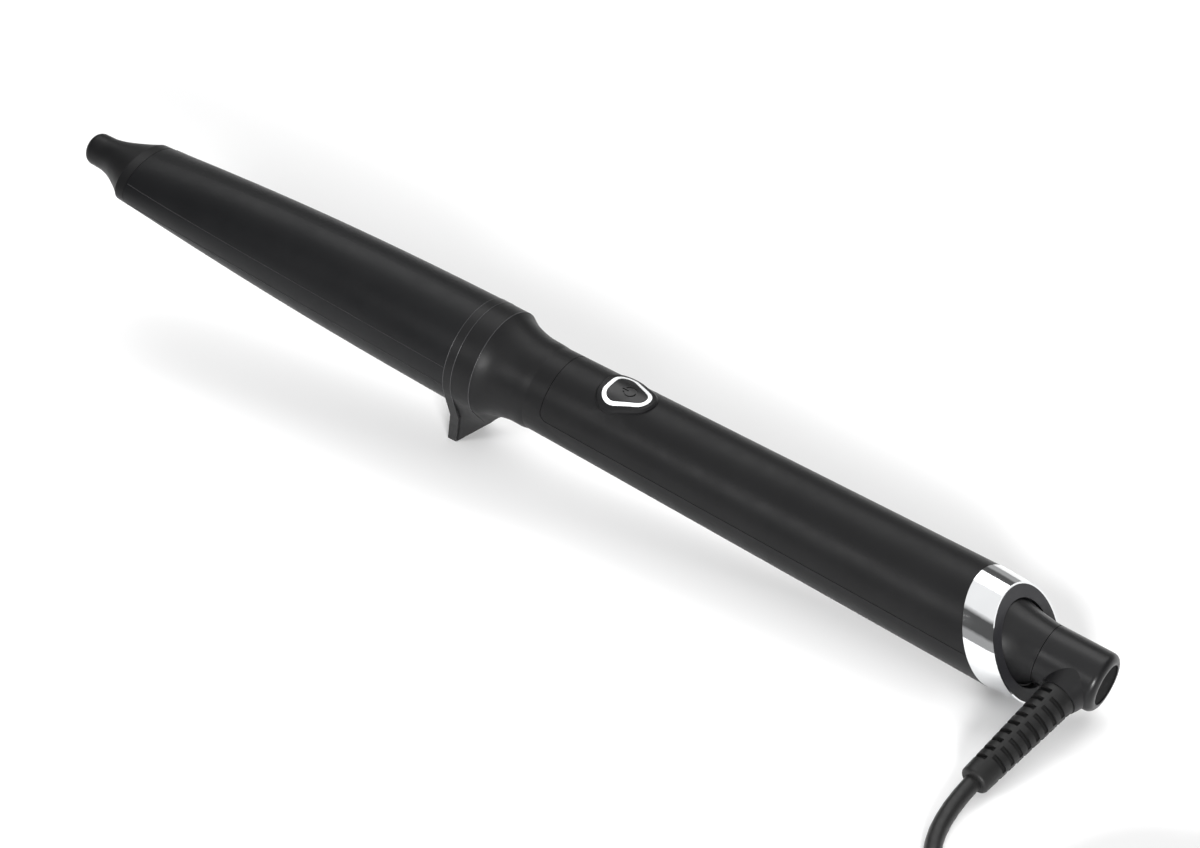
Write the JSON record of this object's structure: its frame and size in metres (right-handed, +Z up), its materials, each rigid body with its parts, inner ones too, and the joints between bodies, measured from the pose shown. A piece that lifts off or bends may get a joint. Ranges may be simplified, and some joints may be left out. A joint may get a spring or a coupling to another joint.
{
  "type": "curling wand",
  "caption": "Clipless hair curling wand with a flattened tapering hot barrel, a fixed safety stand, a slim handle with a power button and a swivel mains cord.",
  "frame": {"origin": "on the table under the middle of the wand's length, the cord and its plug left out", "axes": "+X from the hot tip toward the cord end along the table, +Z up; the wand's own axis dips 4.9 degrees toward +X because it rests on its stand and on the lower edge of the rear ring; the cord leaves toward -Y"},
  "size_m": [0.539, 0.1494, 0.0574],
  "materials": {
    "barrel_coating": "satin black ceramic coating",
    "tip_plastic": "satin, heat resisting",
    "heater_ceramic": "sintered ceramic",
    "spreader_metal": "extruded",
    "mica": "laminated",
    "screw_steel": "zinc plated",
    "wire_sleeve": "silicone",
    "supply_sleeve": "soft",
    "board": "lacquered",
    "terminal_plastic": "moulded",
    "chip_plastic": "moulded",
    "capacitor_film": "dipped",
    "fuse_metal": "tinned",
    "bead_glass": "clear",
    "lamp_plastic": "clear",
    "switch_plastic": "moulded",
    "light_guide": "translucent white",
    "button_plastic": "glossy",
    "handle_plastic": "fine matte",
    "stand_plastic": "satin",
    "chrome_ring": "polished",
    "cap_plastic": "satin",
    "swivel_plastic": "satin gloss",
    "spindle_plastic": "acetal",
    "spring_steel": "oiled",
    "contact_brass": "polished",
    "relief_rubber": "satin",
    "cord_rubber": "satin",
    "tie_rubber": "ribbed",
    "plug_plastic": "moulded",
    "pin_metal": "nickel plated"
  },
  "bodies": {
    "cord_side": {"swivel_body": "swivel_plastic", "swivel_end_disc": "swivel_plastic", "swivel_spindle": "spindle_plastic", "spindle_clip": "spring_steel", "contact_rings": "contact_brass", "swivel_wires": "wire_sleeve", "strain_relief": "relief_rubber", "cord": "cord_rubber", "cord_coil": "cord_rubber", "plug_lead": "cord_rubber", "cord_tie": "tie_rubber", "plug_body": "plug_plastic", "plug_pins": "pin_metal"},
    "wand": {"barrel": "barrel_coating", "tip_cap": "tip_plastic", "tip_insulator": "mica", "heater_plate": "heater_ceramic", "spreader_upper": "spreader_metal", "spreader_lower": "spreader_metal", "barrel_flange": "mica", "flange_screws": "screw_steel", "thermal_fuse": "fuse_metal", "thermistor": "bead_glass", "heater_wires": "wire_sleeve", "stand_plate": "stand_plastic", "lower_shell": "handle_plastic", "upper_shell": "handle_plastic", "light_ring": "light_guide", "circuit_board": "board", "board_screws": "screw_steel", "board_terminals": "terminal_plastic", "controller_chip": "chip_plastic", "buzzer": "chip_plastic", "film_capacitor": "capacitor_film", "triac": "chip_plastic", "tact_switch": "switch_plastic", "indicator_lamps": "lamp_plastic", "supply_wires": "supply_sleeve", "end_ring": "chrome_ring", "end_cap": "cap_plastic", "swivel_neck": "swivel_plastic", "brush_holder": "chip_plastic", "brushes": "contact_brass"},
    "button": {"power_button": "button_plastic"}
  },
  "joints": [
    {"name": "cord_swivel", "type": "hinge", "parent": "cord_side", "child": "wand", "pos_m": [0.17094, 0, 0.01713], "axis": [0.9963, 0, -0.086], "continuous": true},
    {"name": "power_press", "type": "slide", "parent": "wand", "child": "button", "axis": [-0.086, 0, -0.9963], "range_m": [0, 0.0006], "stiffness_N_per_m": 900}
  ]
}
